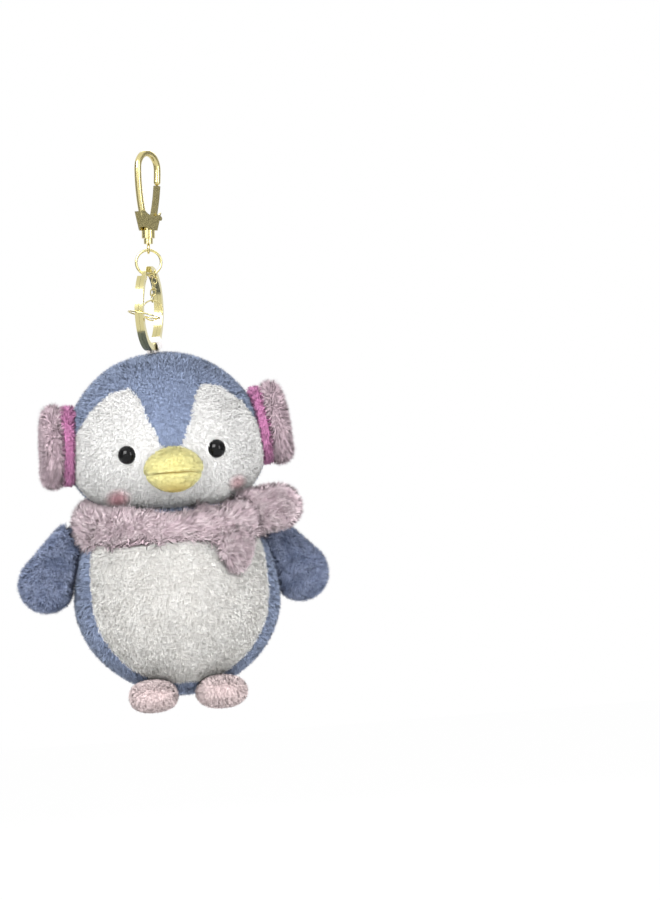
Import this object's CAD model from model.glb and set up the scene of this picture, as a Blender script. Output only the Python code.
"""Plush penguin on a key ring: soft forms, pile, velboa, ribbon and plated fittings."""
import logging
import math
from collections.abc import Callable, Iterator
from contextlib import contextmanager
from dataclasses import dataclass, field
from enum import Enum
from functools import cache

import bmesh
import bpy
import numpy as np
from mathutils import Matrix, Vector, noise


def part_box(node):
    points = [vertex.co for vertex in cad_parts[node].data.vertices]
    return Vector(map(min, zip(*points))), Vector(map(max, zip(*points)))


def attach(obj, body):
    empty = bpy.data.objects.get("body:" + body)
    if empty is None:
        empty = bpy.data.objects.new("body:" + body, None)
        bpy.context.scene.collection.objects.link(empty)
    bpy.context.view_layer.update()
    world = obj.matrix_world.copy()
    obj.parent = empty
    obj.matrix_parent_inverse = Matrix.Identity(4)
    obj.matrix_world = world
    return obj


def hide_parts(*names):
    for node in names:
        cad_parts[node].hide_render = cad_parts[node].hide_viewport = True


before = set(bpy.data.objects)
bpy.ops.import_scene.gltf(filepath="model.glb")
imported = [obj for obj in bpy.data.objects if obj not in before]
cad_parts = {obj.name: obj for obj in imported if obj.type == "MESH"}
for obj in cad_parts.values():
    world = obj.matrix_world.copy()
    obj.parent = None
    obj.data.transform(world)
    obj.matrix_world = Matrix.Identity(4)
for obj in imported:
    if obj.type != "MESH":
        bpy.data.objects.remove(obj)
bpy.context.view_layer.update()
LOG = logging.getLogger("plush_penguin")
MM = 0.001
Colour = tuple[float, float, float]
Outline = list[tuple[float, float]]
Change = Callable[[np.ndarray], np.ndarray]      # takes a mesh's points and gives them changed


# ---------------------------------------------------------------- small helpers
def linear(colour: Colour) -> tuple[float, float, float, float]:
    """A display colour, 0 to 255, as a linear one with alpha."""
    parts = [c / 255 for c in colour]
    return (*[p / 12.92 if p <= 0.04045 else ((p + 0.055) / 1.055) ** 2.4 for p in parts], 1.0)


def vectors(items: bpy.types.bpy_prop_collection, key: str) -> np.ndarray:
    """One three-number property of every item as an (n, 3) array.

    Args:
        items: a mesh's points, faces or point normals.
        key: the property's name.

    Returns:
        The values, as 64-bit numbers.
    """
    data = np.empty(len(items) * 3, dtype=np.float32)
    items.foreach_get(key, data)
    return data.reshape(-1, 3).astype(np.float64)


def positions(mesh: bpy.types.Mesh) -> np.ndarray:
    """The mesh's points as an (n, 3) array in metres."""
    return vectors(mesh.vertices, "co")


def set_positions(mesh: bpy.types.Mesh, points: np.ndarray) -> None:
    """Writes an (n, 3) array back to the mesh's points."""
    mesh.vertices.foreach_set("co", points.astype(np.float32).ravel())
    mesh.update()


def normals(mesh: bpy.types.Mesh) -> np.ndarray:
    """The mesh's point normals as an (n, 3) array."""
    return vectors(mesh.vertex_normals, "vector")


@contextmanager
def edited(mesh: bpy.types.Mesh) -> Iterator[bmesh.types.BMesh]:
    """The mesh opened for editing and written back at the end.

    Args:
        mesh: the mesh.

    Returns:
        The mesh as an open bmesh, to be used in a with block.
    """
    work = bmesh.new()
    work.from_mesh(mesh)
    yield work
    work.to_mesh(mesh)
    work.free()


def link(name: str, mesh: bpy.types.Mesh) -> bpy.types.Object:
    """A new object of this mesh, in the scene.

    Args:
        name: the object's name.
        mesh: its mesh.

    Returns:
        The object.
    """
    obj = bpy.data.objects.new(name, mesh)
    bpy.context.scene.collection.objects.link(obj)
    return obj


def discard(obj: bpy.types.Object) -> None:
    """Removes a working object."""
    bpy.data.objects.remove(obj, do_unlink=True)


def baked(obj: bpy.types.Object) -> None:
    """Replaces the object's mesh by its evaluated one and drops the modifiers.

    Args:
        obj: the object, which keeps its name.
    """
    graph = bpy.context.evaluated_depsgraph_get()
    mesh = bpy.data.meshes.new_from_object(obj.evaluated_get(graph), depsgraph=graph)
    obj.modifiers.clear()
    obj.data = mesh


def corners_of(node: str) -> tuple[Vector, Vector]:
    """The lowest and the highest corner of a CAD node."""
    low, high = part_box(node)
    return Vector(low), Vector(high)


def middle(node: str) -> Vector:
    """The middle of a CAD node's box."""
    low, high = corners_of(node)
    return (low + high) / 2


# ---------------------------------------------------------------- shader groups
def new_group(name: str, inputs: dict[str, tuple[str, object]],
              outputs: dict[str, str]) -> bpy.types.NodeTree:
    """A shader node group with these sockets.

    Args:
        name: the group's name.
        inputs: socket name to (socket type, default).
        outputs: socket name to socket type.

    Returns:
        The group, with its input and output nodes named "in" and "out".
    """
    group = bpy.data.node_groups.new(name, "ShaderNodeTree")
    for key, (kind, value) in inputs.items():
        socket = group.interface.new_socket(key, in_out="INPUT", socket_type=kind)
        if value is not None:
            socket.default_value = value
    for key, kind in outputs.items():
        group.interface.new_socket(key, in_out="OUTPUT", socket_type=kind)
    group.nodes.new("NodeGroupInput").name = "in"
    group.nodes.new("NodeGroupOutput").name = "out"
    return group


def feed(tree: bpy.types.NodeTree, node: bpy.types.Node, links: dict[object, object]) -> bpy.types.Node:
    """Feeds a node's inputs, by name or number, from output sockets or plain values.

    Args:
        tree: the tree that the node is in.
        node: the node.
        links: input (name or number) to an output socket or a plain value.

    Returns:
        The node.
    """
    for key, value in links.items():
        if isinstance(value, bpy.types.NodeSocket):
            tree.links.new(value, node.inputs[key])
        else:
            node.inputs[key].default_value = value
    return node


def wire(tree: bpy.types.NodeTree, node_type: str, links: dict[object, object],
         **settings: object) -> bpy.types.Node:
    """Adds a node, sets its properties and feeds its sockets.

    Args:
        tree: the tree that it goes into.
        node_type: Blender's name of the node.
        links: input (name or number) to an output socket or a plain value.
        settings: the node's own properties.

    Returns:
        The node.
    """
    node = tree.nodes.new(node_type)
    for key, value in settings.items():
        setattr(node, key, value)
    return feed(tree, node, links)


def mixed_colour(tree: bpy.types.NodeTree, factor: object, first: object,
                 second: object) -> bpy.types.NodeSocket:
    """The mix of two colours, the second one at factor 1."""
    mix = wire(tree, "ShaderNodeMix", {"Factor": factor, 6: first, 7: second}, data_type="RGBA")
    return mix.outputs[2]


DRIFT_RANGE = (0.38, 0.64)       # the stretch of the noise that the drifts are drawn from
TUFTS_PER_METRE = 620.0
MARKS_PER_METRE = 900.0
SPOT_FADE = (0.3, 1.3)           # where a spot starts to fade and where it ends, in radii


def pile_tone_group() -> bpy.types.NodeTree:
    """The colour of a strand: darker at its root, streaked in drifts, a little uneven.

    Returns:
        The group, which gives a colour.
    """
    group = new_group("pile tone", {
        "Height": ("NodeSocketFloat", 0.5), "Strand": ("NodeSocketFloat", 0.5),
        "Root": ("NodeSocketColor", None), "Tip": ("NodeSocketColor", None),
        "Streak": ("NodeSocketColor", None), "Drift Size": ("NodeSocketFloat", 300.0),
        "Drift": ("NodeSocketFloat", 0.3), "Uneven": ("NodeSocketFloat", 0.1),
        "Mottle": ("NodeSocketFloat", 0.2),
    }, {"Color": "NodeSocketColor"})
    start, end = group.nodes["in"], group.nodes["out"]
    place = wire(group, "ShaderNodeTexCoord", {})
    drift = wire(group, "ShaderNodeTexNoise", {
        "Vector": place.outputs["Object"], "Scale": start.outputs["Drift Size"], "Detail": 3.0})
    stretch = wire(group, "ShaderNodeMapRange", {
        "Value": drift.outputs["Fac"], "From Min": DRIFT_RANGE[0], "From Max": DRIFT_RANGE[1]})
    share = wire(group, "ShaderNodeMath", {0: stretch.outputs["Result"], 1: start.outputs["Drift"]},
                 operation="MULTIPLY")
    along = mixed_colour(group, start.outputs["Height"], start.outputs["Root"], start.outputs["Tip"])
    streaked = mixed_colour(group, share.outputs[0], along, start.outputs["Streak"])
    centred = wire(group, "ShaderNodeMath", {0: start.outputs["Strand"], 1: 0.5}, operation="SUBTRACT")
    lift = wire(group, "ShaderNodeMath", {0: centred.outputs[0], 1: start.outputs["Uneven"], 2: 1.0},
                operation="MULTIPLY_ADD")
    tufts = wire(group, "ShaderNodeTexNoise", {
        "Vector": place.outputs["Object"], "Scale": TUFTS_PER_METRE, "Detail": 4.0, "Roughness": 0.6})
    uneven = wire(group, "ShaderNodeMath", {0: tufts.outputs["Fac"], 1: 0.5}, operation="SUBTRACT")
    shade = wire(group, "ShaderNodeMath", {
        0: uneven.outputs[0], 1: start.outputs["Mottle"], 2: lift.outputs[0]}, operation="MULTIPLY_ADD")
    toned = wire(group, "ShaderNodeVectorMath", {0: streaked, "Scale": shade.outputs[0]},
                 operation="SCALE")
    group.links.new(toned.outputs["Vector"], end.inputs["Color"])
    return group


def spot_group() -> bpy.types.NodeTree:
    """A soft round spot about a point, as a mask.

    Returns:
        The group, which gives a mask.
    """
    group = new_group("soft spot", {
        "Centre": ("NodeSocketVector", None), "Radius": ("NodeSocketFloat", 0.003),
        "Squash": ("NodeSocketVector", None),
    }, {"Mask": "NodeSocketFloat"})
    start, end = group.nodes["in"], group.nodes["out"]
    place = wire(group, "ShaderNodeTexCoord", {})
    apart = wire(group, "ShaderNodeVectorMath", {0: place.outputs["Object"], 1: start.outputs["Centre"]},
                 operation="SUBTRACT")
    shaped = wire(group, "ShaderNodeVectorMath", {0: apart.outputs["Vector"], 1: start.outputs["Squash"]},
                  operation="MULTIPLY")
    far = wire(group, "ShaderNodeVectorMath", {0: shaped.outputs["Vector"]}, operation="LENGTH")
    ratio = wire(group, "ShaderNodeMath", {0: far.outputs["Value"], 1: start.outputs["Radius"]},
                 operation="DIVIDE")
    fade = wire(group, "ShaderNodeMapRange", {
        "Value": ratio.outputs[0], "From Min": SPOT_FADE[0], "From Max": SPOT_FADE[1],
        "To Min": 1.0, "To Max": 0.0},
        interpolation_type="SMOOTHSTEP")
    group.links.new(fade.outputs["Result"], end.inputs["Mask"])
    return group


def scuff_group() -> bpy.types.NodeTree:
    """Fine handling marks on metal and plastic, as a roughness and a height.

    Returns:
        The group, which gives a roughness and a height.
    """
    group = new_group("handling marks", {
        "Base": ("NodeSocketFloat", 0.16), "Amount": ("NodeSocketFloat", 0.1),
    }, {"Roughness": "NodeSocketFloat", "Height": "NodeSocketFloat"})
    start, end = group.nodes["in"], group.nodes["out"]
    place = wire(group, "ShaderNodeTexCoord", {})
    marks = wire(group, "ShaderNodeTexNoise", {
        "Vector": place.outputs["Object"], "Scale": MARKS_PER_METRE, "Detail": 4.0})
    rough = wire(group, "ShaderNodeMath", {
        0: marks.outputs["Fac"], 1: start.outputs["Amount"], 2: start.outputs["Base"]},
        operation="MULTIPLY_ADD")
    group.links.new(rough.outputs[0], end.inputs["Roughness"])
    group.links.new(marks.outputs["Fac"], end.inputs["Height"])
    return group


def weave_group() -> bpy.types.NodeTree:
    """Crossed threads of a woven ribbon or a knitted backing, as a mask.

    Returns:
        The group, which gives a mask.
    """
    group = new_group("woven threads", {
        "Threads": ("NodeSocketFloat", 2200.0)}, {"Mask": "NodeSocketFloat"})
    start, end = group.nodes["in"], group.nodes["out"]
    place = wire(group, "ShaderNodeTexCoord", {})
    waves = []
    for direction in ("X", "Z"):
        waves.append(wire(group, "ShaderNodeTexWave", {
            "Vector": place.outputs["Object"], "Scale": start.outputs["Threads"], "Distortion": 1.5,
            "Detail": 1.0}, bands_direction=direction))
    crossed = wire(group, "ShaderNodeMath", {0: waves[0].outputs["Fac"], 1: waves[1].outputs["Fac"]},
                   operation="MAXIMUM")
    group.links.new(crossed.outputs[0], end.inputs["Mask"])
    return group


GROUPS = {"pile": pile_tone_group(), "spot": spot_group(), "scuff": scuff_group(), "weave": weave_group()}


def placed_group(tree: bpy.types.NodeTree, name: str, links: dict[str, object]) -> bpy.types.Node:
    """A shared group placed in a material with its own values."""
    return wire(tree, "ShaderNodeGroup", links, node_tree=GROUPS[name])


def blank_material(name: str) -> tuple[bpy.types.Material, bpy.types.NodeTree, bpy.types.Node]:
    """A new material with its tree and its Principled BSDF.

    Args:
        name: the material's name.

    Returns:
        The material, its node tree and its shader.
    """
    material = bpy.data.materials.new(name)
    material.use_nodes = True
    tree = material.node_tree
    return material, tree, tree.nodes["Principled BSDF"]


# ---------------------------------------------------------------- finishes
@dataclass(frozen=True)
class Blush:
    """A soft spot of another colour on the pile: each side's reach is the radius over its squash."""

    centre: tuple[float, float, float]
    radius: float
    colour: Colour
    squash: tuple[float, float, float] = (0.72, 0.5, 1.0)


@dataclass(frozen=True)
class PileFinish:
    """Cut pile, velboa or long fur, and the backing below it."""

    name: str
    slot: str
    root: Colour
    tip: Colour
    streak: Colour
    drift_size: float = 260.0
    drift: float = 0.35
    uneven: float = 0.16
    mottle: float = 0.5
    sheen: float = 0.12
    blushes: tuple[Blush, ...] = ()
    blend: float = 0.72          # share of the surface's own normal in a strand's shading

    @cache
    def material(self, strands: bool) -> bpy.types.Material:
        """The material of the strands, or of the backing below them.

        Args:
            strands: whether it is for the strands.

        Returns:
            The material, made once for each.
        """
        material, tree, shader = blank_material(self.name + (" strands" if strands else " backing"))
        height: object = 0.3
        strand: object = 0.5
        if strands:
            height = wire(tree, "ShaderNodeAttribute", {}, attribute_name="pile_height").outputs["Fac"]
            strand = wire(tree, "ShaderNodeAttribute", {}, attribute_name="pile_tone").outputs["Fac"]
        tone = placed_group(tree, "pile", {
            "Height": height, "Strand": strand, "Root": linear(self.root), "Tip": linear(self.tip),
            "Streak": linear(self.streak), "Drift Size": self.drift_size, "Drift": self.drift,
            "Uneven": self.uneven, "Mottle": self.mottle})
        colour = tone.outputs["Color"]
        for blush in self.blushes:
            spot = placed_group(tree, "spot", {
                "Centre": blush.centre, "Radius": blush.radius, "Squash": blush.squash})
            colour = mixed_colour(tree, spot.outputs["Mask"], colour, linear(blush.colour))
        tree.links.new(colour, shader.inputs["Base Color"])
        shader.inputs["Roughness"].default_value = 0.85
        shader.inputs["Specular IOR Level"].default_value = 0.2
        shader.inputs["Sheen Weight"].default_value = self.sheen
        shader.inputs["Sheen Roughness"].default_value = 0.4
        if strands:
            root = wire(tree, "ShaderNodeAttribute", {}, attribute_name="root_normal")
            world = wire(tree, "ShaderNodeVectorTransform", {0: root.outputs["Vector"]},
                         vector_type="NORMAL", convert_from="OBJECT", convert_to="WORLD")
            own = wire(tree, "ShaderNodeNewGeometry", {})
            mixed = wire(tree, "ShaderNodeMix", {
                "Factor": self.blend, 4: own.outputs["Normal"], 5: world.outputs[0]},
                data_type="VECTOR")
            unit = wire(tree, "ShaderNodeVectorMath", {0: mixed.outputs[1]}, operation="NORMALIZE")
            tree.links.new(unit.outputs["Vector"], shader.inputs["Normal"])
        return material


@dataclass(frozen=True)
class PlatedMetal:
    """Polished metal, plated pale gold or plain steel."""

    name: str
    colour: Colour
    roughness: float = 0.14

    @cache
    def material(self) -> bpy.types.Material:
        """The plated metal's material.

        Returns:
            The material, made once for each finish.
        """
        material, tree, shader = blank_material(self.name)
        marks = placed_group(tree, "scuff", {"Base": self.roughness, "Amount": 0.1})
        bump = wire(tree, "ShaderNodeBump", {
            "Height": marks.outputs["Height"], "Strength": 0.04, "Distance": 0.0002})
        shader.inputs["Base Color"].default_value = linear(self.colour)
        shader.inputs["Metallic"].default_value = 1.0
        tree.links.new(marks.outputs["Roughness"], shader.inputs["Roughness"])
        tree.links.new(bump.outputs["Normal"], shader.inputs["Normal"])
        return material


@dataclass(frozen=True)
class Woven:
    """Ribbon or knitted backing cloth."""

    name: str
    colour: Colour
    shade: Colour
    threads: float

    @cache
    def material(self) -> bpy.types.Material:
        """The woven cloth's material.

        Returns:
            The material, made once for each finish.
        """
        material, tree, shader = blank_material(self.name)
        weave = placed_group(tree, "weave", {"Threads": self.threads})
        colour = mixed_colour(tree, weave.outputs["Mask"], linear(self.shade), linear(self.colour))
        bump = wire(tree, "ShaderNodeBump", {
            "Height": weave.outputs["Mask"], "Strength": 0.4, "Distance": 0.0002})
        tree.links.new(colour, shader.inputs["Base Color"])
        tree.links.new(bump.outputs["Normal"], shader.inputs["Normal"])
        shader.inputs["Roughness"].default_value = 0.8
        return material


@dataclass(frozen=True)
class GlossPlastic:
    """Moulded glossy plastic."""

    name: str
    colour: Colour
    shine: float = 0.5
    roughness: float = 0.06

    @cache
    def material(self) -> bpy.types.Material:
        """The moulded plastic's material.

        Returns:
            The material, made once for each finish.
        """
        material, tree, shader = blank_material(self.name)
        marks = placed_group(tree, "scuff", {"Base": self.roughness, "Amount": 0.03})
        shader.inputs["Base Color"].default_value = linear(self.colour)
        tree.links.new(marks.outputs["Roughness"], shader.inputs["Roughness"])
        shader.inputs["Specular IOR Level"].default_value = self.shine
        return material


# ---------------------------------------------------------------- soft forms
@dataclass
class SoftForm:
    """A stuffed form that starts from the CAD solids, is swollen and then lightly crumpled."""

    name: str
    nodes: tuple[str, ...]
    voxel: float = 1.5 * MM
    inset: float = 1.3 * MM      # how far the backing lies below the pile's tips
    cap: float = 0.8 * MM        # how far a point may move while it swells
    lump: float = 0.5 * MM
    lump_size: float = 16 * MM
    smooth: int = 4
    drawn_in: Change | None = None

    PRESSURE = 4.0
    SETTLE_FRAMES = 20
    LUMPS_FROM = Vector((7.1, 3.3, 1.7))       # where in the noise the lumps are read

    def build(self) -> bpy.types.Object:
        """Joins, remeshes, sets back, swells and crumples the form.

        Returns:
            The form as a finished backing.
        """
        work = bmesh.new()
        for node in self.nodes:
            work.from_mesh(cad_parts[node].data)
        bmesh.ops.remove_doubles(work, verts=work.verts, dist=1e-7)
        mesh = bpy.data.meshes.new(self.name)
        work.to_mesh(mesh)
        work.free()
        obj = link(self.name, mesh)
        remesh = obj.modifiers.new("remesh", "REMESH")
        remesh.mode = "VOXEL"
        remesh.voxel_size = self.voxel
        baked(obj)
        self.outer_shell(obj)
        self.relax(obj, self.smooth)
        mesh = obj.data
        if self.drawn_in:
            set_positions(mesh, self.drawn_in(positions(mesh)))
        set_positions(mesh, positions(mesh) - normals(mesh) * (self.inset + self.cap * 0.5))
        self.swell(obj)
        fine = obj.modifiers.new("fine", "SUBSURF")
        fine.levels = fine.render_levels = 1
        baked(obj)
        self.crumple(obj)
        for polygon in obj.data.polygons:
            polygon.use_smooth = True
        return obj

    def outer_shell(self, obj: bpy.types.Object) -> None:
        """Keeps the largest connected surface and drops what the remesh left inside.

        Args:
            obj: the remeshed form.
        """
        with edited(obj.data) as work:
            seen: set[bmesh.types.BMVert] = set()
            parts = []
            for vert in work.verts:
                if vert in seen:
                    continue
                stack, part = [vert], []
                seen.add(vert)
                while stack:
                    here = stack.pop()
                    part.append(here)
                    fresh = {edge.other_vert(here) for edge in here.link_edges} - seen
                    seen |= fresh
                    stack.extend(fresh)
                parts.append(part)
            for part in sorted(parts, key=len)[:-1]:
                bmesh.ops.delete(work, geom=part, context="VERTS")

    def relax(self, obj: bpy.types.Object, rounds: int) -> None:
        """Evens out the steps that the voxels leave.

        Args:
            obj: the remeshed form.
            rounds: how many times it is smoothed.
        """
        with edited(obj.data) as work:
            for _ in range(rounds):
                bmesh.ops.smooth_vert(work, verts=work.verts, factor=0.5,
                                      use_axis_x=True, use_axis_y=True, use_axis_z=True)

    def swell(self, obj: bpy.types.Object) -> None:
        """Blows the form up as cloth under pressure, each point by no more than the cap.

        Args:
            obj: the form, set back from its full size.
        """
        before = positions(obj.data)
        cloth = obj.modifiers.new("swell", "CLOTH")
        settings = cloth.settings
        settings.use_pressure = True
        settings.uniform_pressure_force = self.PRESSURE
        settings.effector_weights.gravity = 0.0
        settings.quality = 5
        cloth.point_cache.frame_start = 1
        cloth.point_cache.frame_end = self.SETTLE_FRAMES
        scene = bpy.context.scene
        for number in range(1, self.SETTLE_FRAMES + 1):
            scene.frame_set(number)
        graph = bpy.context.evaluated_depsgraph_get()
        swollen = bpy.data.meshes.new_from_object(obj.evaluated_get(graph), depsgraph=graph)
        moved = positions(swollen) - before
        obj.modifiers.clear()
        bpy.data.meshes.remove(swollen)
        scene.frame_set(1)
        moved[~np.isfinite(moved).all(axis=1)] = 0.0
        length = np.linalg.norm(moved, axis=1, keepdims=True)
        moved *= np.minimum(1.0, self.cap / np.maximum(length, 1e-9))
        set_positions(obj.data, before + moved)

    def crumple(self, obj: bpy.types.Object) -> None:
        """Adds the low lumps of loose filling.

        Args:
            obj: the form.
        """
        mesh = obj.data
        points, out = positions(mesh), normals(mesh)
        shift = np.array([noise.noise(Vector(p) / self.lump_size + self.LUMPS_FROM) for p in points])
        set_positions(mesh, points + out * (shift * self.lump)[:, None])


def split_by(obj: bpy.types.Object, name: str, inside: np.ndarray) -> bpy.types.Object:
    """Moves the faces whose middle is inside to a new object, so that the two meet edge to edge.

    Args:
        obj: the object that keeps the other faces.
        name: the new object's name.
        inside: one truth value for each face.

    Returns:
        The new object.
    """
    other = link(name, obj.data.copy())
    for target, drop in ((obj, inside), (other, ~inside)):
        with edited(target.data) as work:
            work.faces.ensure_lookup_table()
            gone = [work.faces[i] for i in np.nonzero(drop)[0]]
            bmesh.ops.delete(work, geom=gone, context="FACES")
    return other


def face_middles(mesh: bpy.types.Mesh) -> np.ndarray:
    """The faces' middles as an (n, 3) array."""
    return vectors(mesh.polygons, "center")


def inside_outline(x: np.ndarray, z: np.ndarray, outline: Outline) -> np.ndarray:
    """Which points lie inside a closed outline, by counting crossings.

    Args:
        x: the points' places across.
        z: the points' heights.
        outline: the outline, in the same units.

    Returns:
        One truth value for each point.
    """
    result = np.zeros(len(x), dtype=bool)
    count = len(outline)
    for i in range(count):
        (x1, z1), (x2, z2) = outline[i], outline[(i + 1) % count]
        if z1 == z2:
            continue
        crosses = (z1 > z) != (z2 > z)
        at = (x2 - x1) * (z - z1) / (z2 - z1) + x1
        result ^= crosses & (x < at)
    return result


def rounded_outline(points: Outline, steps: int = 8) -> Outline:
    """A smooth closed curve through the points, as short straight runs.

    Args:
        points: the points that the curve goes through.
        steps: how many runs there are between two points.

    Returns:
        The curve.
    """
    count, result = len(points), []
    for i in range(count):
        p0, p1, p2, p3 = (np.array(points[(i + k) % count]) for k in (-1, 0, 1, 2))
        for step in range(steps):
            t = step / steps
            value = 0.5 * (2 * p1 + (p2 - p0) * t + (2 * p0 - 5 * p1 + 4 * p2 - p3) * t**2
                           + (3 * p1 - p0 - 3 * p2 + p3) * t**3)
            result.append((float(value[0]), float(value[1])))
    return result


def both_sides(right: Outline) -> Outline:
    """A closed outline in metres from its right half in millimetres, top to bottom on the axis."""
    left = [(-x, z) for x, z in reversed(right[1:-1])]
    return [(x * MM, z * MM) for x, z in right + left]


def shifted(by: Vector) -> Change:
    """A change of form that moves every point by the same amount."""
    return lambda points: points + np.array(by)


def rounded(node: str, amount: float) -> Change:
    """A change of form that draws what lies outside the box's own ellipsoid in by this share.

    Args:
        node: the CAD node whose box it is.
        amount: the share, 1 for all the way to the ellipsoid.

    Returns:
        The change of form.
    """
    low, high = (np.array(corner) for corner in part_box(node))
    centre, half = (low + high) / 2, (high - low) / 2

    def draw(points: np.ndarray) -> np.ndarray:
        """The points, with the corners drawn in.

        Args:
            points: the form's points as an (n, 3) array in metres.

        Returns:
            The changed points.
        """
        apart = (points - centre) / half
        length = np.linalg.norm(apart, axis=1, keepdims=True)
        kept = np.where(length > 1, 1 + (length - 1) * (1 - amount), length)
        return centre + apart / np.maximum(length, 1e-9) * kept * half

    return draw


# ---------------------------------------------------------------- pile
def strand_mesh() -> bpy.types.Object:
    """One strand: a narrow strip that bends over and ends in a point, with its height and its UV.

    Returns:
        The strand, one unit high and wide.
    """
    mesh = bpy.data.meshes.new("strand")
    rooted, bent = -0.12, 0.55       # heights of its root and of its bend, its tip at 1
    verts = [(-0.5, 0, rooted), (0.5, 0, rooted), (0.42, 0.10, bent), (-0.42, 0.10, bent), (0, 0.34, 1.0)]
    mesh.from_pydata(verts, [], [(0, 1, 2, 3), (3, 2, 4)])
    height = mesh.attributes.new("pile_height", "FLOAT", "POINT")
    height.data.foreach_set("value", [0.0, 0.0, 0.6, 0.6, 1.0])
    place = mesh.attributes.new("strand_uv", "FLOAT_VECTOR", "POINT")
    place.data.foreach_set("vector", [0.1, 0.1, 0, 0.9, 0.1, 0, 0.9, 0.6, 0, 0.1, 0.6, 0, 0.5, 0.9, 0])
    return link("strand", mesh)


STRAND = strand_mesh()


class Fall(Enum):
    """Which way the pile lies."""

    DOWN = (0.0, 0.0, -1.0)
    RIGHT = (1.0, 0.0, 0.0)


@dataclass(frozen=True)
class Pile:
    """How many strands a surface carries, how long they are and how they lie."""

    count: int
    length: float
    width: float
    lean: float = 0.6
    ruffle: float = 0.5
    clump: float = 0.6
    clump_size: float = 6 * MM
    fall: Fall = Fall.DOWN
    seed: int = 1


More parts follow.
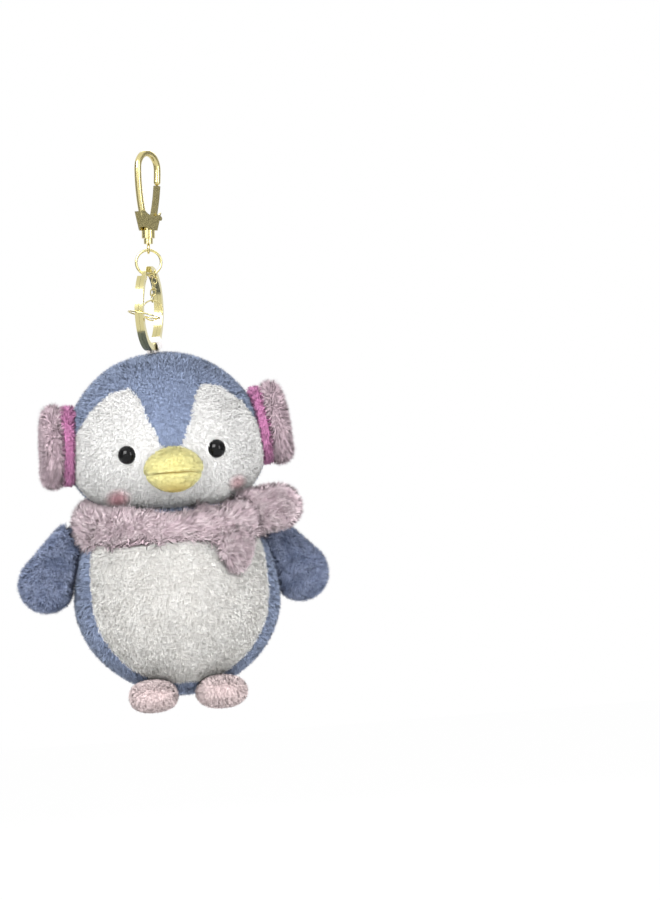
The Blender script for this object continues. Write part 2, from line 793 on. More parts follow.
class PileTree:
    """The Geometry Nodes tree that sets strands over a surface."""

    INPUTS = {"Density": "NodeSocketFloat", "Length": "NodeSocketFloat", "Width": "NodeSocketFloat",
              "Lean": "NodeSocketFloat", "Ruffle": "NodeSocketFloat", "Clump": "NodeSocketFloat",
              "Clump Scale": "NodeSocketFloat", "Fall": "NodeSocketVector", "Seed": "NodeSocketInt",
              "Cells": "NodeSocketFloat", "Strand": "NodeSocketObject", "Finish": "NodeSocketMaterial"}
    DRAWS = {"way": 11, "spin": 23, "length": 37, "width": 41, "tone": 53}      # each draw's own seed
    SPARE_CELLS = 1.1      # UV cells per strand that is asked for, as the spread gives a few more
    WORKING = ("cell", "strand_uv")      # attributes that the finished pile doesn't need

    def __init__(self) -> None:
        """Builds the tree once."""
        self.tree = bpy.data.node_groups.new("pile on a surface", "GeometryNodeTree")
        face = self.tree.interface
        face.new_socket("Geometry", in_out="INPUT", socket_type="NodeSocketGeometry")
        self.keys = {name: face.new_socket(name, in_out="INPUT", socket_type=kind).identifier
                     for name, kind in self.INPUTS.items()}
        face.new_socket("Geometry", in_out="OUTPUT", socket_type="NodeSocketGeometry")
        self.lay()

    def maths(self, kind: str, operation: str, *values: object) -> bpy.types.NodeSocket:
        """A maths node's output: kind is "Math" or "VectorMath".

        Args:
            kind: "Math" or "VectorMath".
            operation: what the node works out.
            values: its inputs in order, sockets or plain values.

        Returns:
            The node's output.
        """
        node = wire(self.tree, "ShaderNode" + kind, dict(enumerate(values)), operation=operation)
        return node.outputs["Value"] if kind == "Math" or operation in ("LENGTH", "DOT_PRODUCT") \
            else node.outputs["Vector"]

    def scaled(self, vector: bpy.types.NodeSocket, amount: object) -> bpy.types.NodeSocket:
        """A vector times a number."""
        node = wire(self.tree, "ShaderNodeVectorMath", {0: vector, "Scale": amount}, operation="SCALE")
        return node.outputs["Vector"]

    def chance(self, low: object, high: object, draw: str, kind: str = "FLOAT") -> bpy.types.NodeSocket:
        """A seeded random value for each strand.

        Args:
            low: the lowest value.
            high: the highest value.
            draw: which draw it is, by its name in DRAWS.
            kind: FLOAT or FLOAT_VECTOR.

        Returns:
            The value.
        """
        node = self.tree.nodes.new("FunctionNodeRandomValue")
        node.data_type = kind
        first = 0 if kind == "FLOAT_VECTOR" else 2
        node.inputs[first].default_value = low
        node.inputs[first + 1].default_value = high
        node.inputs["Seed"].default_value = self.DRAWS[draw]
        return node.outputs[0] if kind == "FLOAT_VECTOR" else node.outputs[1]

    def stored(self, geometry: bpy.types.NodeSocket, name: str, value: object, kind: str,
               domain: str) -> bpy.types.NodeSocket:
        """The geometry with a named attribute on it.

        Args:
            geometry: the geometry.
            name: the attribute's name.
            value: what is stored, a socket or a plain value.
            kind: the attribute's data type.
            domain: what carries it.

        Returns:
            The geometry that carries it.
        """
        node = wire(self.tree, "GeometryNodeStoreNamedAttribute", {
            "Geometry": geometry, "Name": name}, data_type=kind, domain=domain)
        return feed(self.tree, node, {"Value": value}).outputs["Geometry"]

    def lay(self) -> None:
        """Places, leans, sizes and realizes the strands."""
        tree = self.tree
        start = tree.nodes.new("NodeGroupInput")
        end = tree.nodes.new("NodeGroupOutput")
        cover = wire(tree, "GeometryNodeInputNamedAttribute", {0: "cover"}, data_type="FLOAT")
        density = self.maths("Math", "MULTIPLY", start.outputs["Density"], cover.outputs[0])
        spread = wire(tree, "GeometryNodeDistributePointsOnFaces", {
            "Mesh": start.outputs["Geometry"], "Density": density, "Seed": start.outputs["Seed"]},
            distribute_method="RANDOM")
        normal = spread.outputs["Normal"]
        kept = self.stored(spread.outputs["Points"], "root_normal", normal, "FLOAT_VECTOR", "POINT")
        where = wire(tree, "GeometryNodeInputPosition", {})
        tufts = wire(tree, "ShaderNodeTexNoise", {
            "Vector": where.outputs[0], "Scale": start.outputs["Clump Scale"], "Detail": 2.0})
        tuft_way = self.maths("VectorMath", "SUBTRACT", tufts.outputs["Color"], (0.5, 0.5, 0.5))
        clumped = self.scaled(tuft_way, start.outputs["Clump"])
        ruffle = self.chance((-1, -1, -1), (1, 1, 1), "way", "FLOAT_VECTOR")
        loose = self.scaled(ruffle, start.outputs["Ruffle"])
        combed = self.scaled(start.outputs["Fall"], start.outputs["Lean"])
        way = self.maths("VectorMath", "ADD", self.maths("VectorMath", "ADD", combed, clumped), loose)
        inward = self.maths("VectorMath", "PROJECT", way, normal)
        flat = self.maths("VectorMath", "SUBTRACT", way, inward)
        aim = self.maths("VectorMath", "NORMALIZE", self.maths("VectorMath", "ADD", flat, normal))
        turn = wire(tree, "FunctionNodeAlignRotationToVector", {"Vector": aim}, axis="Z")
        spin = wire(tree, "FunctionNodeAxisAngleToRotation", {
            "Axis": (0.0, 0.0, 1.0), "Angle": self.chance(-math.pi, math.pi, "spin")})
        both = wire(tree, "FunctionNodeRotateRotation", {
            0: turn.outputs[0], 1: spin.outputs[0]}, rotation_space="LOCAL")
        long = self.maths("Math", "MULTIPLY", start.outputs["Length"], self.chance(0.7, 1.12, "length"))
        wide = self.maths("Math", "MULTIPLY", start.outputs["Width"], self.chance(0.75, 1.25, "width"))
        size = wire(tree, "ShaderNodeCombineXYZ", {"X": wide, "Y": long, "Z": long})
        strand = wire(tree, "GeometryNodeObjectInfo", {"Object": start.outputs["Strand"]})
        planted = wire(tree, "GeometryNodeInstanceOnPoints", {
            "Points": kept, "Instance": strand.outputs["Geometry"],
            "Rotation": both.outputs[0], "Scale": size.outputs[0]})
        toned = self.stored(planted.outputs["Instances"], "pile_tone", self.chance(0.0, 1.0, "tone"),
                            "FLOAT", "INSTANCE")
        number = wire(tree, "GeometryNodeInputIndex", {})
        rows = self.maths("Math", "DIVIDE", number.outputs[0], start.outputs["Cells"])
        row = self.maths("Math", "FLOOR", rows)
        column = self.maths("Math", "MODULO", number.outputs[0], start.outputs["Cells"])
        cell = wire(tree, "ShaderNodeCombineXYZ", {"X": column, "Y": row})
        celled = self.stored(toned, "cell", cell.outputs[0], "FLOAT_VECTOR", "INSTANCE")
        solid = wire(tree, "GeometryNodeRealizeInstances", {"Geometry": celled})
        share = self.maths("Math", "DIVIDE", 1.0, start.outputs["Cells"])
        corner = self.scaled(self.maths("VectorMath", "ADD", *(
            wire(tree, "GeometryNodeInputNamedAttribute", {0: name}, data_type="FLOAT_VECTOR").outputs[0]
            for name in self.WORKING)), share)
        mapped = self.stored(solid.outputs["Geometry"], "OFBake", corner, "FLOAT2", "CORNER")
        dressed = wire(tree, "GeometryNodeSetMaterial", {
            "Geometry": mapped, "Material": start.outputs["Finish"]})
        tree.links.new(dressed.outputs["Geometry"], end.inputs[0])

    def grow(self, base: bpy.types.Object, name: str, pile: Pile, finish: PileFinish,
             cover: np.ndarray | None = None) -> bpy.types.Object:
        """Grows the pile on a backing.

        Args:
            base: the backing.
            name: the pile piece's name.
            pile: the strands' number, size and lie.
            finish: the pile's finish.
            cover: how much of the full density each point of the backing has, 1 where left out.

        Returns:
            The pile as a plain mesh object.
        """
        mesh = base.data.copy()
        values = np.ones(len(mesh.vertices)) if cover is None else cover
        attribute = mesh.attributes.new("cover", "FLOAT", "POINT")
        attribute.data.foreach_set("value", values.astype(np.float32))
        areas = np.array([p.area for p in mesh.polygons])
        shares = np.array([values[list(p.vertices)].mean() for p in mesh.polygons])
        area = float((areas * shares).sum())
        obj = link(name, mesh)
        modifier = obj.modifiers.new("pile", "NODES")
        modifier.node_group = self.tree
        count = pile.count
        values_by_name = {
            "Density": count / max(area, 1e-9), "Length": pile.length, "Width": pile.width,
            "Lean": pile.lean, "Ruffle": pile.ruffle, "Clump": pile.clump * 2,
            "Clump Scale": 1 / pile.clump_size, "Fall": pile.fall.value, "Seed": pile.seed,
            "Cells": float(math.ceil(math.sqrt(count * self.SPARE_CELLS))),
            "Strand": STRAND, "Finish": finish.material(strands=True)}
        for key, value in values_by_name.items():
            modifier[self.keys[key]] = value
        baked(obj)
        obj.data.name = name
        for extra in self.WORKING:
            if extra in obj.data.attributes:
                obj.data.attributes.remove(obj.data.attributes[extra])
        LOG.info("%s: %d strands", name, len(obj.data.vertices) // 5)
        return obj


PILE = PileTree()


def dress(obj: bpy.types.Object, finish: PileFinish, body: str, nodes: tuple[str, ...] = ()) -> None:
    """Gives a backing its material and says what it is: its slot, body, stuffing and CAD nodes.

    Args:
        obj: the backing.
        finish: its finish.
        body: the body that it rides on.
        nodes: the CAD nodes that it stands for.
    """
    obj.data.materials.clear()
    obj.data.materials.append(finish.material(strands=False))
    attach(obj, body)
    if nodes:
        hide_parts(*nodes)
    LOG.info("%s: %d faces on %s", obj.name, len(obj.data.polygons), body)


def grown(base: bpy.types.Object, name: str, pile: Pile, finish: PileFinish, body: str,
          cover: np.ndarray | None = None) -> bpy.types.Object:
    """Grows a pile on a backing and lets it ride with it.

    Args:
        base: the backing.
        name: the pile piece's name.
        pile: the strands' number, size and lie.
        finish: the pile's finish.
        body: the body that it rides on.
        cover: how much of the full density each point of the backing has.

    Returns:
        The pile.
    """
    obj = PILE.grow(base, name, pile, finish, cover)
    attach(obj, body)
    return obj


def stuffed(form: SoftForm, pile_name: str, pile: Pile, finish: PileFinish, body: str) -> None:
    """Builds a form of one finish, dresses it for its CAD nodes and grows its pile.

    Args:
        form: the form, which knows its own name and nodes.
        pile_name: the pile piece's name.
        pile: the strands' number, size and lie.
        finish: the finish of both.
        body: the body that both ride on.
    """
    base = form.build()
    dress(base, finish, body, form.nodes)
    grown(base, pile_name, pile, finish, body)


# ---------------------------------------------------------------- the head's middle and the finishes
def head_middle(rise: float = 32.2 * MM) -> Vector:
    """The middle of the head at its widest level, which lies this far below the crown."""
    left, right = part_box("head_back_left"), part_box("head_back_right")
    return Vector(((left[0][0] + right[1][0]) / 2, (left[0][1] + left[1][1]) / 2, left[1][2] - rise))


HEAD = head_middle()
BEAK_LOW, BEAK_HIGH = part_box("beak_upper")
SEAM_LEVEL = BEAK_LOW[2]


def on_face(x: float, depth: float, z: float) -> tuple[float, float, float]:
    """A place in metres from one in millimetres off the head's middle, this deep in front of it."""
    return HEAD.x + x * MM, HEAD.y - depth * MM, HEAD.z + z * MM


def on_beak(depth: float, z: float) -> tuple[float, float, float]:
    """A place in metres on the beak's middle, from millimetres behind its front and off its seam."""
    return (BEAK_LOW[0] + BEAK_HIGH[0]) / 2, BEAK_LOW[1] + depth * MM, SEAM_LEVEL + z * MM


CHEEKS = (Blush(on_face(-18.6, 24, -16.6), 3.6 * MM, (248, 184, 194), (0.8, 0.2, 1.0)),
          Blush(on_face(22.2, 22, -13.8), 3.0 * MM, (244, 204, 208), (0.8, 0.2, 1.0)))
BEAK_SHADES = (Blush(on_beak(3, -8), 5.0 * MM, (250, 224, 132), (0.42, 0.3, 1.0)),
               Blush(on_beak(0, 0), 7.4 * MM, (232, 204, 116), (1.0, 0.3, 22.0)))
BLUE = PileFinish("blue cut pile", "blue_pile", (122, 135, 163), (160, 174, 203), (134, 147, 176),
                  drift_size=190.0, drift=0.6, blend=0.88)
FLIPPER_BLUE = PileFinish("flipper cut pile", "flipper_pile", (86, 97, 125), (158, 169, 198),
                          (104, 116, 145), drift_size=230.0, drift=0.8, mottle=0.9, blend=0.8)
WHITE = PileFinish("white face pile", "white_pile", (250, 249, 247), (255, 255, 253), (249, 248, 245),
                   drift=0.4, uneven=0.04, mottle=0.16, blushes=CHEEKS, blend=0.88)
BELLY = PileFinish("white belly pile", "belly_pile", (236, 234, 229), (250, 249, 245), (230, 227, 221),
                   drift=0.5, uneven=0.05, mottle=0.2, blend=0.92)
PINK = PileFinish("dusty pink fur", "pink_pile", (192, 164, 176), (232, 210, 218), (200, 174, 186),
                  drift_size=240.0, drift=0.7, blend=0.9)
SCARF = PileFinish("scarf fur", "scarf_pile", (206, 182, 190), (246, 230, 234), (206, 182, 191),
                   drift_size=300.0, drift=0.8, blend=0.9)
DISC = PileFinish("magenta backing pile", "disc_fabric", (172, 104, 148), (212, 146, 188),
                  (186, 120, 162), drift=0.5)
BAND = PileFinish("headband pile", "band_fabric", (170, 96, 146), (206, 134, 180), (184, 112, 160),
                  drift=0.5)
FOOT = PileFinish("foot velboa", "foot_velboa", (218, 194, 194), (240, 222, 221), (228, 208, 207),
                  drift=0.4, uneven=0.06, mottle=0.16, blend=0.86)
BEAK = PileFinish("beak velboa", "beak_velboa", (252, 240, 152), (255, 250, 186), (254, 242, 162),
                  drift=0.4, uneven=0.04, mottle=0.04, blushes=BEAK_SHADES, blend=0.9)
GOLD = PlatedMetal("gold plate", (216, 203, 146), 0.17)
RING_GOLD = PlatedMetal("ring gold plate", (212, 202, 148), 0.15)
CHAIN_GOLD = PlatedMetal("chain gold plate", (208, 196, 140), 0.18)
STEEL = PlatedMetal("spring steel", (186, 188, 192), 0.3)
RIBBON = Woven("tab ribbon", (226, 222, 220), (196, 192, 192), 2600.0)
EYE_BLACK = GlossPlastic("eye black", (8, 8, 9), 0.22)
WASHER = GlossPlastic("washer plastic", (230, 228, 222))


# ---------------------------------------------------------------- sub-assemblies
def patched(form: SoftForm, name: str, outline: Outline) -> tuple[bpy.types.Object, bpy.types.Object]:
    """Builds a form and splits the patch inside the outline off its front.

    Args:
        form: the form.
        name: the patch's name.
        outline: the patch's closed outline in metres off the head's middle, as seen from the front.

    Returns:
        The form without the patch, and the patch.
    """
    rest = form.build()
    middles = face_middles(rest.data)
    inside = inside_outline(middles[:, 0] - HEAD.x, middles[:, 2] - HEAD.z, outline)
    return rest, split_by(rest, name, inside & (middles[:, 1] < HEAD.y))


@dataclass
class Head:
    """The head: blue panels with a peak, the white face, the cheeks' blush."""

    face: Outline = field(default_factory=lambda: [
        (0, -6), (3.6, 0.5), (6.6, 8), (9.0, 15.5), (11.6, 19.8), (17.5, 18.9), (25.0, 13.2), (30.6, 5),
        (32.6, -5), (31.0, -14.5), (24, -21), (12, -25), (0, -26)])
    eye_trim: float = 3.0 * MM
    trim_keeps: float = 0.08     # share of the pile that is left round the eyes
    pile: Pile = Pile(65000, 1.7 * MM, 0.2 * MM, lean=0.55, ruffle=0.45, clump=0.6, seed=3)
    face_pile: Pile = Pile(65000, 1.25 * MM, 0.18 * MM, lean=0.5, ruffle=0.55, clump=0.5, seed=5)

    def trimmed(self, face: bpy.types.Object) -> np.ndarray:
        """How dense the pile is at each point of the face: trimmed round the eyes.

        Args:
            face: the face's backing.

        Returns:
            The share of the full density at each point.
        """
        points = positions(face.data)
        cover = np.ones(len(points))
        for node in ("eye_left", "eye_right"):
            centre = middle(node)
            apart = np.hypot(points[:, 0] - centre.x, points[:, 2] - centre.z)
            cover[apart < self.eye_trim] = self.trim_keeps
        return cover

    def build(self) -> None:
        """Builds the head's backing, its two panels' piles and their declarations."""
        nodes = ("head_back_left", "head_back_right", "face_left", "face_right", "head_stuffing")
        blue, white = patched(SoftForm("head_panels", nodes, voxel=1.8 * MM, inset=0.2 * MM, lump=0.6 * MM),
                              "face_panels", both_sides(self.face))
        dress(blue, BLUE, "plush", ("head_back_left", "head_back_right", "head_stuffing"))
        dress(white, WHITE, "plush", ("face_left", "face_right"))
        grown(blue, "head_pile", self.pile, BLUE, "plush")
        grown(white, "face_pile", self.face_pile, WHITE, "plush", self.trimmed(white))


@dataclass
class Body:
    """The body: blue back and base, the white belly panel."""

    belly: Outline = field(default_factory=lambda: [
        (0, -26), (20, -27), (27.4, -33), (28.6, -49), (26.4, -60), (19.2, -70), (10, -75.6), (0, -77)])
    pile: Pile = Pile(60000, 1.7 * MM, 0.21 * MM, lean=0.55, ruffle=0.45, clump=0.6, seed=7)
    belly_pile: Pile = Pile(65000, 1.3 * MM, 0.18 * MM, lean=0.6, ruffle=0.45, clump=0.5,
                            clump_size=9 * MM, seed=9)

    def build(self) -> None:
        """Builds the body's backing, its two piles and their declarations."""
        nodes = ("belly_panel", "body_base", "body_back_left", "body_back_right", "body_stuffing")
        blue, white = patched(SoftForm("body_panels", nodes, voxel=1.8 * MM, inset=0.3 * MM, lump=0.7 * MM),
                              "belly_patch", rounded_outline(both_sides(self.belly)))
        dress(blue, BLUE, "plush", nodes[1:])
        dress(white, BELLY, "plush", nodes[:1])
        grown(blue, "body_pile", self.pile, BLUE, "plush")
        grown(white, "belly_pile", self.belly_pile, BELLY, "plush")


@dataclass
class Flippers:
    """Both stuffed flippers, each a little off its solid, as loose filling lets them hang."""

    left_off: tuple[float, float, float] = (0, 0, 2.6 * MM)
    right_off: tuple[float, float, float] = (-1.6 * MM, 0, 0.8 * MM)
    pile: Pile = Pile(24000, 2.5 * MM, 0.25 * MM, lean=0.5, ruffle=0.65, clump=0.9, seed=11)

    def build(self) -> None:
        """Builds each flipper's backing and pile."""
        for side, body, off in (("left", "flipper_l", self.left_off),
                                ("right", "flipper_r", self.right_off)):
            form = SoftForm(f"flipper_{side}_panel", (f"flipper_{side}", f"flipper_stuffing_{side}"),
                            voxel=1.2 * MM, inset=0.6 * MM, drawn_in=shifted(Vector(off)))
            stuffed(form, f"flipper_{side}_pile", self.pile, FLIPPER_BLUE, body)


@dataclass
class Feet:
    """Both velboa feet."""

    corners: float = 0.75        # how far the corners are drawn in to a plain oval, 1 for all the way
    pile: Pile = Pile(12000, 1.2 * MM, 0.22 * MM, lean=0.7, ruffle=0.4, clump=0.4, seed=13)

    def build(self) -> None:
        """Builds each foot's backing and its short pile."""
        for side in ("left", "right"):
            form = SoftForm(f"foot_{side}_panel", (f"foot_{side}", f"foot_stuffing_{side}"),
                            voxel=1.0 * MM, inset=0.5 * MM, lump=0.3 * MM, cap=0.5 * MM, smooth=8,
                            drawn_in=rounded(f"foot_{side}", self.corners))
            stuffed(form, f"foot_{side}_pile", self.pile, FOOT, "plush")


@dataclass
class Beak:
    """The two-panel velboa beak with its cross seam."""

    seam_depth: float = 0.6 * MM
    seam_width: float = 0.6 * MM
    pile: Pile = Pile(8000, 0.9 * MM, 0.2 * MM, lean=0.8, ruffle=0.3, clump=0.3, seed=17)

    def build(self) -> None:
        """Builds the beak, draws its seam in and splits it there."""
        nodes = ("beak_upper", "beak_lower", "beak_stuffing")
        upper = SoftForm("beak_upper_panel", nodes, voxel=0.7 * MM, inset=0.5 * MM, lump=0.2 * MM,
                         cap=0.3 * MM).build()
        points, out = positions(upper.data), normals(upper.data)
        dip = np.exp(-((points[:, 2] - SEAM_LEVEL) / self.seam_width) ** 2) * self.seam_depth
        set_positions(upper.data, points - out * dip[:, None])
        lower = split_by(upper, "beak_lower_panel", face_middles(upper.data)[:, 2] < SEAM_LEVEL)
        dress(upper, BEAK, "plush", ("beak_upper", "beak_stuffing"))
        dress(lower, BEAK, "plush", ("beak_lower",))
        grown(upper, "beak_upper_pile", self.pile, BEAK, "plush")
        grown(lower, "beak_lower_pile", self.pile, BEAK, "plush")


@dataclass
class Earmuffs:
    """Long-furred pads on magenta discs, and the band between them."""

    pad_squeeze: float = 2.6 * MM
    disc_squeeze: float = 1.6 * MM
    pad_pile: Pile = Pile(25000, 3.2 * MM, 0.22 * MM, lean=0.6, ruffle=0.5, clump=0.6,
                          clump_size=5 * MM, seed=19)
    disc_pile: Pile = Pile(8000, 2.0 * MM, 0.28 * MM, lean=0.5, ruffle=0.5, clump=0.6, seed=23)
    band_pile: Pile = Pile(6000, 1.4 * MM, 0.25 * MM, lean=0.5, ruffle=0.5, clump=0.4, seed=29)

    def build(self) -> None:
        """Builds pads, discs and band."""
        for side in ("left", "right"):
            inward = (HEAD - middle(f"earmuff_pad_{side}")).normalized()
            pad = SoftForm(f"ear_pad_{side}", (f"earmuff_pad_{side}",), voxel=1.0 * MM, inset=1.4 * MM,
                           lump=0.8 * MM, lump_size=7 * MM, drawn_in=shifted(inward * self.pad_squeeze))
            stuffed(pad, f"ear_pad_{side}_fur", self.pad_pile, PINK, "plush")
            disc = SoftForm(f"ear_disc_{side}", (f"earmuff_disc_{side}",), voxel=0.9 * MM,
                            inset=0.6 * MM, cap=0.4 * MM, drawn_in=shifted(inward * self.disc_squeeze))
            stuffed(disc, f"ear_disc_{side}_pile", self.disc_pile, DISC, "plush")
        band = SoftForm("ear_band", ("earmuff_band",), voxel=0.6 * MM, inset=0.2 * MM, cap=0.15 * MM,
                        lump=0.15 * MM, smooth=2)
        stuffed(band, "ear_band_pile", self.band_pile, BAND, "plush")


@dataclass
class Scarf:
    """The fur scarf: its wrap, the end at the side and the tail in front."""

    fold: float = 0.315 * MM     # height of the wrap's waves
    wrap_widens: float = 0.16    # share that the wrap grows downwards in front
    wrap_sags: float = -0.9 * MM
    end_keeps: tuple[float, float, float] = (0.8, 1.0, 0.86)     # shares of the side end's size
    tail_keeps: float = 0.76     # share of the solid's height that the gathered tail has
    tail_top: float = 1.12       # share of the solid's width at the tail's top
    taper: float = 0.62          # how much less of the width is left at its tip
    tail_leans: float = 2.2 * MM
    wrap_pile: Pile = Pile(66000, 3.4 * MM, 0.23 * MM, lean=0.9, ruffle=0.5, clump=0.7,
                           clump_size=5 * MM, fall=Fall.RIGHT, seed=31)
    end_pile: Pile = Pile(22000, 3.0 * MM, 0.23 * MM, lean=0.7, ruffle=0.5, clump=0.6,
                          clump_size=5 * MM, fall=Fall.RIGHT, seed=37)
    tail_pile: Pile = Pile(17000, 3.5 * MM, 0.23 * MM, lean=0.8, ruffle=0.6, clump=0.7,
                           clump_size=4 * MM, seed=41)

    def sagging_front(self, points: np.ndarray) -> np.ndarray:
        """The wrap a little wider and lower in front, where it hangs over the chest.

        Args:
            points: the form's points as an (n, 3) array in metres.

        Returns:
            The changed points.
        """
        low, high = corners_of("scarf_wrap")
        front = np.clip((HEAD.y - points[:, 1]) / (HEAD.y - low.y), 0, 1)
        fall = (high.z - points[:, 2]) * self.wrap_widens + self.wrap_sags
        return points - (front * fall)[:, None] * np.array((0, 0, 1))

    def short_end(self, points: np.ndarray) -> np.ndarray:
        """The side end a little shorter and lower than its solid, as loose cloth folds back.

        Args:
            points: the form's points as an (n, 3) array in metres.

        Returns:
            The changed points.
        """
        low, high = corners_of("scarf_end_side")
        root = np.array((low.x, (low.y + high.y) / 2, (low.z + high.z) / 2))
        return root + (points - root) * np.array(self.end_keeps)

    def gathered_tail(self, points: np.ndarray) -> np.ndarray:
        """The tail gathered to a point at its lower end.

        Args:
            points: the form's points as an (n, 3) array in metres.

        Returns:
            The changed points.
        """
        low, high = corners_of("scarf_end_front")
        centre = (low.x + high.x) / 2
        share = np.clip((high.z - points[:, 2]) / (high.z - low.z), 0, 1)
        x = centre - self.tail_leans * share + (points[:, 0] - centre) * (self.tail_top - self.taper * share)
        z = high.z + (points[:, 2] - high.z) * self.tail_keeps
        return np.stack((x, points[:, 1], z), axis=1)

    def wave(self, wrap: bpy.types.Object) -> None:
        """Two crossing runs of soft folds, so many to a turn and slanting so many radians a metre.

        Args:
            wrap: the wrap's backing.
        """
        points, out = positions(wrap.data), normals(wrap.data)
        turn = np.arctan2(points[:, 1] - HEAD.y, points[:, 0] - HEAD.x)
        height = np.zeros(len(points))
        for share, folds, slant in ((1.0, 5, 420), (0.6, 11, -700)):
            height += share * np.sin(turn * folds + points[:, 2] * slant)
        set_positions(wrap.data, points + out * (height * self.fold)[:, None])

    def build(self) -> None:
        """Builds the wrap and both ends."""
        wrap = SoftForm("scarf_band", ("scarf_wrap",), voxel=1.3 * MM, inset=1.2 * MM, lump=0.9 * MM,
                        lump_size=9 * MM, drawn_in=self.sagging_front).build()
        self.wave(wrap)
        dress(wrap, SCARF, "plush", ("scarf_wrap",))
        grown(wrap, "scarf_band_fur", self.wrap_pile, SCARF, "plush")
        for name, node, body, pile, change in (
                ("scarf_side_end", "scarf_end_side", "scarf_side", self.end_pile, self.short_end),
                ("scarf_tail", "scarf_end_front", "scarf_front", self.tail_pile, self.gathered_tail)):
            form = SoftForm(name, (node,), voxel=0.9 * MM, inset=0.9 * MM, cap=0.6 * MM, lump=0.6 * MM,
                            lump_size=8 * MM, drawn_in=change)
            stuffed(form, name + "_fur", pile, SCARF, body)


@dataclass
class Fittings:
    """The CAD pieces that keep their shape: metal, eyes, washers and the ribbon tab."""

    finishes: dict[str, PlatedMetal | GlossPlastic] = field(default_factory=lambda: {
        "clasp_body": GOLD, "clasp_gate": GOLD, "gate_pin": GOLD, "gate_spring": STEEL,
        "swivel_post": GOLD, "swivel_ring": RING_GOLD, "split_ring": RING_GOLD,
        "chain_end_ring": CHAIN_GOLD, "side_jump_ring": CHAIN_GOLD,
        **{f"chain_link_{n}": CHAIN_GOLD for n in range(1, 6)},
        **{f"eye_{side}": EYE_BLACK for side in ("left", "right")},
        **{f"eye_washer_{side}": WASHER for side in ("left", "right")}})

    def build(self) -> None:
        """Gives each such piece its material, and models the ribbon tab."""
        for node, finish in self.finishes.items():
            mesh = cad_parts[node].data
            mesh.materials.clear()
            mesh.materials.append(finish.material())
        tab = SoftForm("tab_ribbon", ("hanging_loop",), voxel=0.25 * MM, inset=0.0, cap=0.06 * MM,
                       lump=0.12 * MM, lump_size=3 * MM, smooth=2).build()
        tab.data.materials.clear()
        tab.data.materials.append(RIBBON.material())
        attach(tab, "plush")
        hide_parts("hanging_loop")
        LOG.info("fittings: %d pieces", len(self.finishes) + 1)


# ---------------------------------------------------------------- studio
def seen_directly(tree: bpy.types.NodeTree) -> bpy.types.NodeSocket:
    """1 to the camera, in mirrors and through glass, 0 where it is only light that falls on things.

    Args:
        tree: the tree of the material or the world.

    Returns:
        The value, 0 or 1.
    """
    rays = wire(tree, "ShaderNodeLightPath", {})
    seen = rays.outputs["Is Camera Ray"]
    for ray in ("Is Glossy Ray", "Is Transmission Ray"):
        seen = wire(tree, "ShaderNodeMath", {0: seen, 1: rays.outputs[ray]}, operation="MAXIMUM").outputs[0]
    return seen


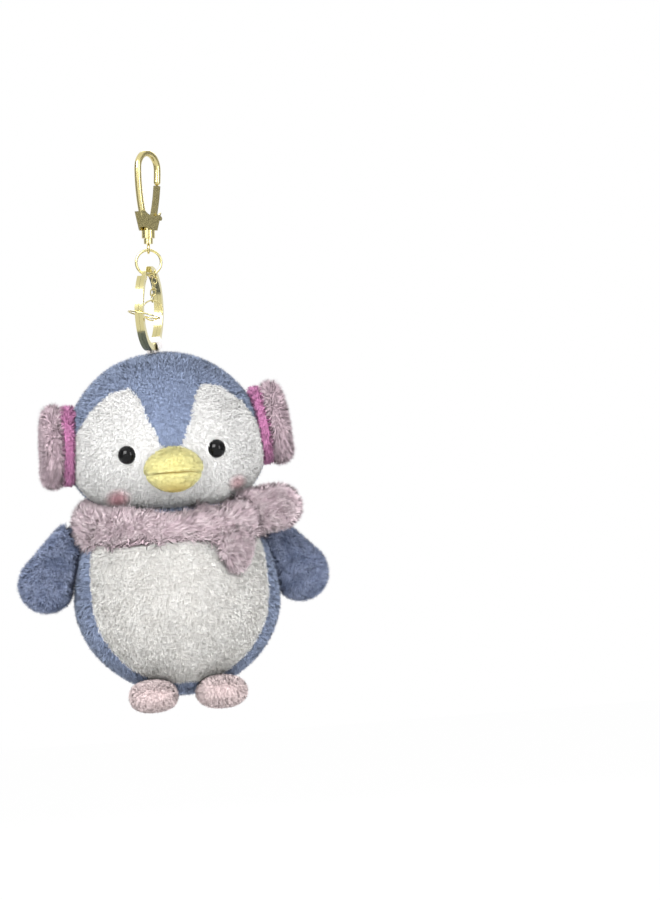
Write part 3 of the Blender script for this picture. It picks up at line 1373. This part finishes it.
@dataclass
class Studio:
    """Pale floor, soft lamps, dark cards and the camera."""

    distance: float = 1.5
    view_height: float = 0.300   # what the frame's height shows at the plush
    plush_left: float = 0.0546667    # how far left of the frame's middle the plush hangs
    yaw: float = 3.7
    elevation: float = -3.0
    roll: float = 4.4
    floor_level: float = -0.262
    floor_half: float = 6.0
    white: float = 0.93
    floor_glow: float = 0.96     # share of the floor's own white to the camera, the rest keeps the shadow
    world_light: float = 0.85
    card_grey: float = 0.2
    card_low: float = -0.35
    card_high: float = 0.45

    # from the head: place, size in metres, watts
    LAMPS = {"key": ((-0.7, -1.1, 0.8), 0.9, 31), "fill": ((0.9, -0.9, 0.1), 1.0, 17),
             "low": ((-0.2, -1.2, -0.6), 1.0, 11), "rim": ((0.3, 0.9, 0.8), 0.8, 9)}
    # from the head: both ends of each upright card, seen from above
    CARDS = {"flag right": ((0.42, -0.40), (0.42, 0.25)), "flag left": ((-0.42, -0.30), (-0.42, 0.30)),
             "flag front": ((0.30, -0.9), (0.44, -0.8))}

    def lamp(self, name: str) -> None:
        """A soft square lamp that faces the plush.

        Args:
            name: the lamp's name in LAMPS.
        """
        off, size, power = self.LAMPS[name]
        place = HEAD + Vector(off)
        data = bpy.data.lights.new(name, "AREA")
        data.size = size
        data.energy = power
        obj = bpy.data.objects.new(name, data)
        obj.location = place
        obj.rotation_euler = (HEAD - place).to_track_quat("-Z", "Y").to_euler()
        bpy.context.scene.collection.objects.link(obj)

    def cards(self) -> None:
        """Dark cards that only the plating and the eyes mirror, so that the metal has dark bands."""
        material, _, shader = blank_material("flag grey")
        shader.inputs["Base Color"].default_value = (self.card_grey, self.card_grey, self.card_grey, 1)
        shader.inputs["Specular IOR Level"].default_value = 0.0
        for name, (start, end) in self.CARDS.items():
            corners = [(*start, self.card_low), (*end, self.card_low),
                       (*end, self.card_high), (*start, self.card_high)]
            mesh = bpy.data.meshes.new(name)
            mesh.from_pydata([tuple(HEAD + Vector(corner)) for corner in corners], [], [(0, 1, 2, 3)])
            mesh.materials.append(material)
            obj = link(name, mesh)
            obj.visible_camera = obj.visible_diffuse = obj.visible_shadow = False

    def floor(self) -> None:
        """The floor below the hanging plush, with a little of its own light for the camera."""
        mesh = bpy.data.meshes.new("floor")
        half, level = self.floor_half, self.floor_level
        mesh.from_pydata([(-half, -half, level), (half, -half, level), (half, half, level),
                          (-half, half, level)], [], [(0, 1, 2, 3)])
        material, tree, shader = blank_material("floor white")
        shader.inputs["Base Color"].default_value = (self.white, self.white, self.white, 1)
        shader.inputs["Roughness"].default_value = 0.9
        glow = wire(tree, "ShaderNodeEmission", {"Color": (1, 1, 1, 1), "Strength": 1.0})
        share = wire(tree, "ShaderNodeMath", {0: seen_directly(tree), 1: self.floor_glow},
                     operation="MULTIPLY")
        mix = wire(tree, "ShaderNodeMixShader", {
            0: share.outputs[0], 1: shader.outputs[0], 2: glow.outputs[0]})
        tree.links.new(mix.outputs[0], tree.nodes["Material Output"].inputs["Surface"])
        mesh.materials.append(material)
        link("floor", mesh)

    def world(self) -> None:
        """White to the camera and in reflections, softer as light."""
        world = bpy.data.worlds.new("studio")
        bpy.context.scene.world = world
        world.use_nodes = True
        tree = world.node_tree
        back = tree.nodes["Background"]
        back.inputs["Color"].default_value = (1, 1, 1, 1)
        strength = wire(tree, "ShaderNodeMapRange", {
            "Value": seen_directly(tree), "To Min": self.world_light, "To Max": 1.0})
        tree.links.new(strength.outputs[0], back.inputs["Strength"])

    def camera(self) -> None:
        """The camera, with the plush left of the frame's middle."""
        data = bpy.data.cameras.new("camera")
        data.sensor_width = 36
        data.lens = 36 * self.distance / self.view_height
        data.clip_start, data.clip_end = 0.05, 20
        data.shift_x = self.plush_left / self.view_height
        obj = bpy.data.objects.new("camera", data)
        yaw, lift = math.radians(self.yaw), math.radians(self.elevation)
        away = Vector((-math.sin(yaw) * math.cos(lift), -math.cos(yaw) * math.cos(lift), math.sin(lift)))
        obj.location = HEAD + away * self.distance
        look = (-away).to_track_quat("-Z", "Y").to_matrix().to_4x4()
        obj.matrix_world = Matrix.Translation(obj.location) @ look @ Matrix.Rotation(
            -math.radians(self.roll), 4, "Z")
        bpy.context.scene.collection.objects.link(obj)
        bpy.context.scene.camera = obj

    def build(self) -> None:
        """Sets up floor, cards, world, lamps and camera."""
        self.floor()
        self.cards()
        self.world()
        for name in self.LAMPS:
            self.lamp(name)
        self.camera()
        bpy.context.scene.view_settings.view_transform = "Standard"


def main() -> None:
    """Builds the object piece by piece."""
    logging.basicConfig(level=logging.INFO, format="%(message)s")
    for part in (Head(), Body(), Flippers(), Feet(), Beak(), Earmuffs(), Scarf(), Fittings(), Studio()):
        part.build()
    discard(STRAND)


if __name__ == "__main__":
    main()
